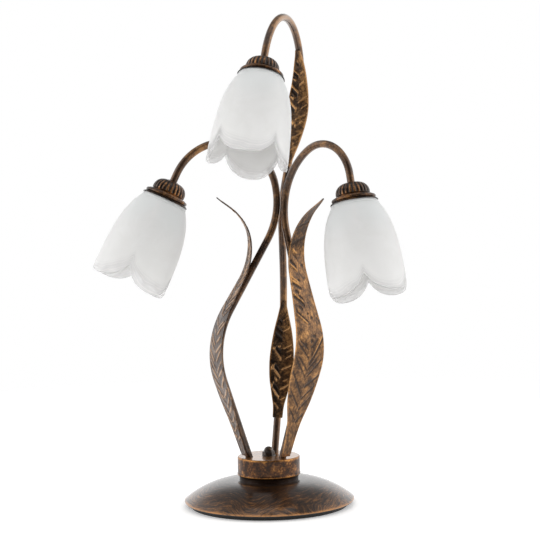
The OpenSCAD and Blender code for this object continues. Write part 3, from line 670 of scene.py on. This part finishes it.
LOWER_MARKS = [
    [0.83, 1, 0, 0.8, 0.8, 0.9, 0.6], [0.80, -1, 0.1, 0.8, 1.0, 1.1, -0.8],
    [0.737, 1, 0, 0.85, 0.65, 0.9, 0.9], [0.72, -1, 0, 0.75, 1.0, 1.0, -0.9],
    [0.655, -1, 0, 0.8, 0.9, 1.5, -1.3], [0.64, -1, 0, 0.14, 0, 1.1, 1.2],
    [0.605, -1, 0.15, 0.4, 0, 1.2, 1.4], [0.66, -1, 0.5, 0.82, -1.0, 1.2, 1.4],
    [0.49, -1, 0, 0.72, 1.3, 0.8, 1.1], [0.53, -1, 0.1, 0.75, 1.3, 1.5, -1.2],
    [0.585, 1, 0.1, 0.88, 0.55, 0.7, 0.8], [0.49, 1, 0.3, 0.82, 0.6, 0.8, 0.8],
    [0.54, 1, 0.3, 0.9, 0.6, 0.7, 0.5], [0.41, 1, 0, 0.82, 0.5, 0.8, 1.0],
    [0.335, -1, 0, 0.74, 1.25, 0.9, 1.3], [0.37, -1, 0.1, 0.7, 1.25, 1.5, -1.3],
    [0.526, -1, 0.48, 0.88, -1.3, 1.4, 1.6], [0.30, 1, 0.2, 0.7, 0.6, 0.7, 0.6],
    [0.165, -1, 0, 0.88, 1.25, 0.9, 1.3], [0.205, -1, 0.1, 0.85, 1.25, 1.6, -1.3],
    [0.365, -1, 0.58, 0.97, -1.3, 1.4, 1.6], [0.28, -1, 0.3, 0.6, 1.2, 1.1, 1.3],
    [0.243, 1, 0, 0.88, 0.6, 0.8, 1.0], [0.15, 1, 0.1, 0.8, 0.6, 0.7, 0.6],
    [0.08, -1, 0, 0.8, 1.2, 0.8, 0.8]]
UPPER_MARKS = [
    [0.87, -1, 0, 0.7, 0.9, 1.0, -0.8], [0.79, -1, 0, 0.95, 0.9, 1.1, 1.3],
    [0.77, -1, 0.1, 0.9, 0.9, 1.3, -1.2], [0.80, 1, 0.2, 0.8, 0.7, 0.8, 0.6],
    [0.728, -1, 0.4, 0.9, 0.7, 1.2, 1.3], [0.745, -1, 0.6, 0.97, 0.6, 1.1, -1.2],
    [0.71, 1, 0, 0.72, 0.8, 0.9, 0.9], [0.645, -1, 0, 0.97, 0.95, 1.3, 1.5],
    [0.62, -1, 0.1, 0.88, 0.95, 1.7, -1.4], [0.573, -1, 0.4, 0.85, 0.7, 1.2, 1.3],
    [0.59, -1, 0.5, 0.9, 0.6, 1.1, -1.2], [0.565, 1, 0, 0.95, 0.75, 0.9, 1.1],
    [0.50, -1, 0, 0.92, 1.1, 1.3, 1.5], [0.52, -1, 0, 0.2, -2.0, 1.2, 1.3],
    [0.472, -1, 0.1, 0.85, 1.1, 1.9, -1.4], [0.485, 1, 0.35, 0.88, 0.85, 0.9, 0.9],
    [0.415, 1, 0, 0.88, 0.55, 0.9, 0.9], [0.375, -1, 0, 0.3, 1.0, 1.2, 1.3],
    [0.375, 1, 0, 0.28, -1.0, 1.2, 1.3], [0.395, 1, 0.45, 0.72, 0, 1.2, 1.4],
    [0.25, 1, 0, 0.95, 0.6, 0.9, 0.8], [0.2, 1, 0.22, 0.5, 0, 1.2, 1.3],
    [0.14, 1, 0, 0.9, 0.6, 0.9, 0.6], [0.3, -1, 0.1, 0.9, 1.0, 1.2, 0.8]]


def marked(marks):
    """Veins of a list of strokes, for a leaf of any length."""
    return lambda length: [(at * length, side, first, reach, slope, width / 1000, rise)
                           for at, side, first, reach, slope, width, rise in marks]


def left_leaf_veins(length):
    return (vein_rows(21, length, 0.0105, (0.9, 0.9), 0.0011, 1.5, ends=(0.05, 0.5))
            + vein_rows(22, length, 0.0065, (1.0, 1.0), 0.001, 1.5, ends=(0.5, 0.93)))


left_leaf = leaf_piece("leaf_blade_left", ARMS["left"],
                       side_leaf_line(ARMS["left"], [[36, 82, 30], [0, 53, 54]], 22),
                       SIDE_LEAF, 0.0225, (10, -12), left_leaf_veins, 0.0009, 380, 56,
                       midrib=0.3)
finished(left_leaf, grey_leaf, "bronze_leaf_gold", "lamp", "leaf_left")
# The right leaf's tone paints it darker towards its curled tip: painted shade.
right_leaf = leaf_piece("leaf_blade_right", ARMS["right"],
                        side_leaf_line(ARMS["right"], [[58, 67, 72]], 20),
                        SIDE_LEAF, 0.0225, (0, 0), marked(RIGHT_MARKS), 0.0006, 380, 56,
                        midrib=0.0,
                        tone=lambda u, share: -0.4 * np.clip((u - 0.76) / 0.08, 0, 1))
finished(right_leaf, gold_leaf, "bronze_leaf_gold", "lamp", "leaf_right")


def stem_leaf_line(span):
    """A stretch of the line just outside the top arm, by its runs from the tube's foot."""
    whole = [beside(at, LEAF_GAP) for at in ARMS["top"].route]
    length = sampled(whole, [0.0])[1]
    shares = np.linspace(span[0] / 1000 / length, span[1] / 1000 / length, 60)
    return [tuple(row) for row in sampled(whole, shares)[0]]


# Their tone lifts the gold overall, and paints the left half darker than the right with a bright
# strip along the left edge: painted shade and painted highlight.
for name, span, cut, roll, marks in (
        ("lower", (46, 186), LOWER_LEAF, (18, 18), LOWER_MARKS),
        ("upper", (350, 500), UPPER_LEAF, (0, 0), UPPER_MARKS)):
    leaf = leaf_piece("leaf_blade_" + name, ARMS["top"], stem_leaf_line(span), cut,
                      0.014, roll, marked(marks), 0.0009, 240, 48, midrib=0.0,
                      tone=lambda u, share: 0.35 + 0.3 * np.clip(share, -1, 1)
                      + 0.8 * np.clip((-share - 0.8) / 0.15, 0, 1))
    finished(leaf, dark_leaf, "bronze_leaf_dark", "lamp", "leaf_" + name)


# ---------------------------------------------------------------------------
# Cups and collars
# Each light hangs from a pressed cup with two dozen flutes and a rolled edge, and a
# thin flared collar below it hides the glass neck.
FLUTES = 24


def light_surface(arm, ring, height, turn):
    """Points round a light's axis, from radii, distances to the mouth and angles."""
    frame_of = np.array(arm.light_matrix())
    points = np.stack((ring * np.cos(turn), ring * np.sin(turn), height), axis=-1)
    return points @ frame_of[:3, :3].T + frame_of[:3, 3]


crown = arc_points((7.4, 13), 12, -90, 0, 22)
edge_roll = arc_points((23.0, 19.2), 2.0, -100, 75, 12)
inner_crown = arc_points((7.4, 13), 11, 0, -90, 16)
CUP = ([(4.35, 0.2), (5.2, 0.0)] + crown + [(19.4, 14.4), (18.6, 15.2), (18.8, 15.6)]
       + [(22.0, 16.4)] + edge_roll + [(23.4, 21.9), (22.8, 21.9)]
       + [(22.6, 18.4), (21.8, 17.2), (18.0, 16.6), (17.4, 15.2)] + inner_crown
       + [(4.35, 2.0), (4.35, 0.2)])


def cup_shape(arm):
    def shape(u, v):
        ring, height = along_profile(CUP, u)
        turn = 2 * np.pi * v
        on_crown = np.clip((height - 0.0022) / 0.003, 0, 1)
        on_crown *= np.clip((0.0147 - height) / 0.0012, 0, 1) * (ring < 0.0195)
        valley = 1 - np.abs(np.sin(FLUTES * turn / 2)) ** 0.75
        ring = ring - 0.0010 * valley * on_crown * np.clip(ring / 0.016, 0.35, 1)
        shape.flute = np.where(on_crown > 0.05, 0.5 - 2.1 * valley, 0.3)
        return light_surface(arm, ring, height, turn)
    return shape


COLLAR = [(23.0, 21.2), (25.0, 21.4), (27.0, 23.0), (27.1, 23.6), (26.6, 23.6), (24.8, 22.4),
          (23.0, 22.0), (23.0, 21.2)]


def collar_shape(arm):
    def shape(u, v):
        ring, height = along_profile(COLLAR, u)
        return light_surface(arm, ring, height, 2 * np.pi * v)
    return shape


cup_bronze, tree, shader, effect = bronze_finish(
    "cup_bronze", {"Dark": (0.018, 0.01, 0.006, 1), "Middle": (0.1, 0.046, 0.019, 1),
                   "Gold": (0.5, 0.23, 0.075, 1), "Scale": 150.0, "Cover": 0.36}, bump=0.15,
    coat=0.5)
tree.links.new(put(tree, "TexCoord").outputs["Object"], effect.inputs["Vector"])
tree.links.new(put(tree, "Attribute", attribute_name="struck").outputs["Fac"],
               effect.inputs["Relief"])

collar_bronze, tree, shader, effect = bronze_finish(
    "collar_bronze", {"Dark": (0.016, 0.009, 0.006, 1), "Middle": (0.08, 0.04, 0.018, 1),
                   "Gold": (0.3, 0.16, 0.06, 1), "Scale": 180.0, "Cover": 0.3},
    bump=0.2, coat=0.2)
tree.links.new(put(tree, "TexCoord").outputs["Object"], effect.inputs["Vector"])

for name, arm in ARMS.items():
    shape = cup_shape(arm)
    cup = formed_sheet("fluted_cup_" + name, 110, FLUTES * 10, shape)
    tagged(cup, "struck", shape.flute)
    sew_up(cup)
    bpy.ops.object.shade_smooth_by_angle(angle=math.radians(40))
    finished(cup, cup_bronze, "bronze_cup", "lamp", "cup_" + name)
    collar = formed_sheet("collar_" + name, 12, 96, collar_shape(arm), closed=True)
    bpy.ops.object.shade_smooth_by_angle(angle=math.radians(40))
    finished(collar, collar_bronze, "bronze_cup", "lamp", "rim_" + name)

# ---------------------------------------------------------------------------
# Lampholders
# A small screw lampholder hangs in each cup on the tube's thread: black moulding, brass
# shell and contact, and the ring that clamps the glass neck.
brass = new_finish("brass_parts", speckle,
                   {"Base": (0.62, 0.43, 0.16, 1), "Spot": (0.42, 0.27, 0.1, 1),
                    "Scale": 380.0, "Rough low": 0.22, "Rough high": 0.38},
                   bump=0.1, metallic=1.0)[0]
for name in ARMS:
    dress(black_plastic, "holder_" + name, "shade_ring_" + name)
    dress(brass, "socket_" + name, "contact_" + name)


# ---------------------------------------------------------------------------
# Tulip shades
# Each shade is blown alabaster glass with a satin skin: dense white above, thinner and
# banded in its four petals, which are cut and fire polished at the lip.
GLASS = 0.003
PETALS = 4
NECK_TOP, SHOULDER = 0.0165, 0.0269
NECK_R, SHOULDER_R, SHADE_R = 0.0204, 0.0268, 0.045
LIP_LOW, NOTCH_DEPTH = 0.129, 0.022
NOTCH_TURN = {"left": 23, "right": -42, "top": 33}


def glass_radius(z):
    return SHOULDER_R + (SHADE_R - SHOULDER_R) * (1 - np.exp(-(z - SHOULDER) / 0.027))


def lip_height(turn):
    """Where the lip is at an angle from a notch: round petals and eased notches."""
    reach = SHADE_R * 0.707
    rise = (reach**2 + NOTCH_DEPTH**2) / (2 * NOTCH_DEPTH)
    turn = (turn + np.pi / 4) % (np.pi / 2) - np.pi / 4
    across = np.sqrt((SHADE_R * np.sin(turn)) ** 2 + 0.0009**2)
    return LIP_LOW - rise + np.sqrt(np.maximum(rise**2 - (across - reach) ** 2, 0))


def shade_shape(arm, notch):
    """Outside from the neck to the lip, round it and back up the inside."""
    def shape(u, v):
        turn = 2 * np.pi * v
        from_notch = turn - math.radians(notch)
        lip = lip_height(from_notch)
        outer = np.clip(u / 0.48, 0, 1)
        inner = np.clip((1 - u) / 0.48, 0, 1)
        outside = u <= 0.5
        run = np.where(outside, outer, inner)
        body = np.clip((run - 0.1) / 0.9, 0, 1)
        neck = np.clip(run / 0.1, 0, 1)
        round_lip = np.clip(np.abs(u - 0.5) / 0.02, 0, 1)
        height = np.where(run < 0.1, NECK_TOP + (SHOULDER - NECK_TOP) * neck,
                          SHOULDER + (lip - SHOULDER) * body ** 1.1)
        flare = (SHOULDER_R - NECK_R) * np.clip(neck * 2.2 - 0.75, 0, 1) ** 0.55
        ring = np.where(run < 0.1, NECK_R + flare, glass_radius(height))
        wave = np.cos(PETALS * from_notch)
        ring = ring - 0.0009 * wave * np.clip((height - 0.075) / 0.04, 0, 1) ** 1.5
        ease = 1 - np.sqrt(np.clip(1 - (1 - round_lip) ** 2, 0, 1))
        depth = GLASS / 2 * ease
        ring = np.where(outside, ring - depth, ring - GLASS + depth)
        height = height - 0.0012 * (1 - np.sqrt(np.clip(1 - ease**2, 0, 1)))
        shape.from_lip = (lip - height) * 1000
        return light_surface(arm, ring, height, turn)
    return shape


def shade_finish():
    """Alabaster glass: swirls and bands that follow the lip, seen through thin petals."""
    finish = bpy.data.materials.new("shade_glass")
    finish.use_nodes = True
    tree = finish.node_tree
    shader = next(n for n in tree.nodes if n.type == "BSDF_PRINCIPLED")
    away = put(tree, "Attribute", attribute_name="from_lip").outputs["Fac"]
    at = put(tree, "TexCoord").outputs["Object"]
    drift = put(tree, "TexNoise", {"Vector": at, "Scale": 16.0, "Detail": 2.0,
                                   "Distortion": 0.4}).outputs["Fac"]
    wisps = put(tree, "TexNoise", {"Vector": at, "Scale": 38.0, "Detail": 5.0,
                                   "Roughness": 0.55, "Distortion": 2.0}).outputs["Fac"]
    level = sum_of(tree, (away, 1.0), (drift, 20.0), -10.0)
    dense = smooth_step(tree, level, 0.0, 16.0)
    line_place = sum_of(tree, (level, 0.16), (wisps, 0.7))
    waves = put(tree, "TexNoise", {"W": line_place, "Scale": 2.0, "Detail": 3.0},
                noise_dimensions="1D").outputs["Fac"]
    off_line = put(tree, "Math", {0: sum_of(tree, (waves, 1.0), -0.5)},
                   operation="ABSOLUTE").outputs[0]
    lines = smooth_step(tree, off_line, 0.04, 0.0)
    near_lip = smooth_step(tree, level, 26.0, 12.0)
    lines = put(tree, "Math", {0: lines, 1: near_lip}, operation="MULTIPLY").outputs[0]
    cloud = smooth_step(tree, sum_of(tree, (wisps, 0.5), (drift, 0.5)), 0.36, 0.62)
    milk = sum_of(tree, (dense, 0.5), (lines, 0.14), 0.46)
    milk = put(tree, "Math", {0: milk, 1: 0.97}, operation="MINIMUM").outputs[0]
    body = blend_colour(tree, cloud, (0.79, 0.785, 0.765, 1), (0.82, 0.815, 0.8, 1))
    cool = smooth_step(tree, away, 55.0, 95.0)
    body = blend_colour(tree, cool, body, (0.76, 0.785, 0.775, 1))
    # The petal colour is set whiter than the body's: painted light for the glow that passes
    # through the thin glass.
    glowing_petal = blend_colour(tree, lines, (0.95, 0.94, 0.935, 1), (0.86, 0.83, 0.815, 1))
    tree.links.new(blend_colour(tree, dense, glowing_petal, body), shader.inputs["Base Color"])
    tree.links.new(milk, shader.inputs["Alpha"])
    shader.inputs["Roughness"].default_value = 0.45
    shader.inputs["Subsurface Weight"].default_value = 0.9
    shader.inputs["Subsurface Radius"].default_value = (1.0, 1.0, 1.0)
    shader.inputs["Subsurface Scale"].default_value = 0.012
    relief = put(tree, "Bump", {"Height": wisps, "Distance": 0.0004, "Strength": 0.15})
    tree.links.new(relief.outputs["Normal"], shader.inputs["Normal"])
    return finish


shade_glass = shade_finish()
for name, arm in ARMS.items():
    shape = shade_shape(arm, NOTCH_TURN[name])
    shade = formed_sheet("tulip_shade_" + name, 120, 192, shape)
    tagged(shade, "from_lip", shape.from_lip)
    sew_up(shade)
    finished(shade, shade_glass, "shade_glass", "lamp", "shade_" + name)

# ---------------------------------------------------------------------------
# Bulbs
# A small round globe of opal glass on a nickelled screw cap with a black glass foot.
# They screw out of their holders.
opal = new_finish("bulb_opal", speckle,
                  {"Base": (0.82, 0.81, 0.78, 1), "Spot": (0.86, 0.85, 0.82, 1),
                   "Scale": 60.0, "Rough low": 0.12, "Rough high": 0.2}, bump=0.02)[0]
nickel = new_finish("cap_metal", speckle,
                    {"Base": (0.62, 0.6, 0.56, 1), "Spot": (0.48, 0.46, 0.42, 1),
                     "Scale": 350.0, "Rough low": 0.2, "Rough high": 0.34},
                    bump=0.1, metallic=1.0)[0]
foot_glass = new_finish("cap_insulator", speckle,
                        {"Base": (0.02, 0.018, 0.022, 1), "Spot": (0.2, 0.19, 0.17, 1),
                         "Scale": 300.0, "Cover": 0.25, "Rough low": 0.15,
                         "Rough high": 0.35}, bump=0.1)[0]
for name in ARMS:
    dress(opal, "bulb_glass_" + name)
    dress(nickel, "bulb_cap_" + name)
    dress(foot_glass, "bulb_foot_" + name)

# ---------------------------------------------------------------------------
# Studio
# A white floor that fades into white air, two tall soft boxes at the sides and one
# above. The lacquer mirrors white sides and a dark room before and above the lamp.
bpy.ops.object.select_all(action="DESELECT")
bpy.ops.mesh.primitive_circle_add(vertices=96, radius=1.6, fill_type="NGON",
                                  location=(0, 0, 0))
floor = bpy.context.object
floor.name = "studio_floor"
paper = bpy.data.materials.new("floor_paper")
paper.use_nodes = True
tree = paper.node_tree
shader = next(n for n in tree.nodes if n.type == "BSDF_PRINCIPLED")
shader.inputs["Base Color"].default_value = (0.88, 0.875, 0.87, 1)
shader.inputs["Roughness"].default_value = 0.6
rays = put(tree, "LightPath")
seen = put(tree, "Math", {0: rays.outputs["Is Camera Ray"], 1: rays.outputs["Is Glossy Ray"]},
           operation="MAXIMUM").outputs[0]
seen = put(tree, "Math", {0: seen, 1: rays.outputs["Is Transmission Ray"]},
           operation="MAXIMUM").outputs[0]
tree.links.new(sum_of(tree, (seen, 0.3)), shader.inputs["Emission Strength"])
reach = put(tree, "VectorMath", {0: put(tree, "TexCoord").outputs["Object"]},
            operation="LENGTH").outputs["Value"]
tree.links.new(smooth_step(tree, reach, 1.2, 0.35), shader.inputs["Alpha"])
shader.inputs["Emission Color"].default_value = (1, 1, 1, 1)
floor.data.materials.append(paper)

world = bpy.data.worlds.new("studio_air")
world.use_nodes = True
bpy.context.scene.world = world
tree = world.node_tree
shader = next(n for n in tree.nodes if n.type == "BACKGROUND")
shader.inputs["Color"].default_value = (1, 1, 1, 1)
rays = put(tree, "LightPath")
heading = put(tree, "SeparateXYZ", {0: put(tree, "TexCoord").outputs["Generated"]})
beside_lens = smooth_step(tree, heading.outputs[1], -0.88, -0.55)
high = smooth_step(tree, heading.outputs[2], 0.28, 0.6)
aside = put(tree, "Math", {0: heading.outputs[0]}, operation="ABSOLUTE").outputs[0]
middle = smooth_step(tree, aside, 0.75, 0.3)
ceiling = put(tree, "Math", {0: high, 1: middle}, operation="MULTIPLY").outputs[0]
mirrored = put(tree, "Math", {0: rays.outputs["Is Glossy Ray"],
                              1: put(tree, "Math", {
                                  0: sum_of(tree, (beside_lens, 0.95), (ceiling, -0.8), -0.83),
                                  1: -0.88}, operation="MAXIMUM").outputs[0]},
               operation="MULTIPLY").outputs[0]
level = sum_of(tree, (rays.outputs["Is Camera Ray"], 0.07), (mirrored, 1.0),
               (rays.outputs["Is Transmission Ray"], 0.07), 0.93)
tree.links.new(level, shader.inputs["Strength"])


def soft_box(name, at, size, power):
    """A rectangular light that faces the middle of the lamp."""
    bpy.ops.object.light_add(type="AREA", location=at)
    box = bpy.context.object
    box.name = name
    box.data.shape = "RECTANGLE"
    box.data.size, box.data.size_y = size
    box.data.energy = power
    box.rotation_euler = (Vector((0, 0, 0.3)) - Vector(at)).to_track_quat("-Z", "Y").to_euler()


soft_box("box_left", (-1.5, -0.2, 0.7), (0.5, 1.4), 3.0)
soft_box("box_right", (1.5, 0.0, 0.8), (0.5, 1.4), 3.0)
soft_box("box_above", (0.0, -0.2, 2.0), (1.2, 1.2), 3.0)
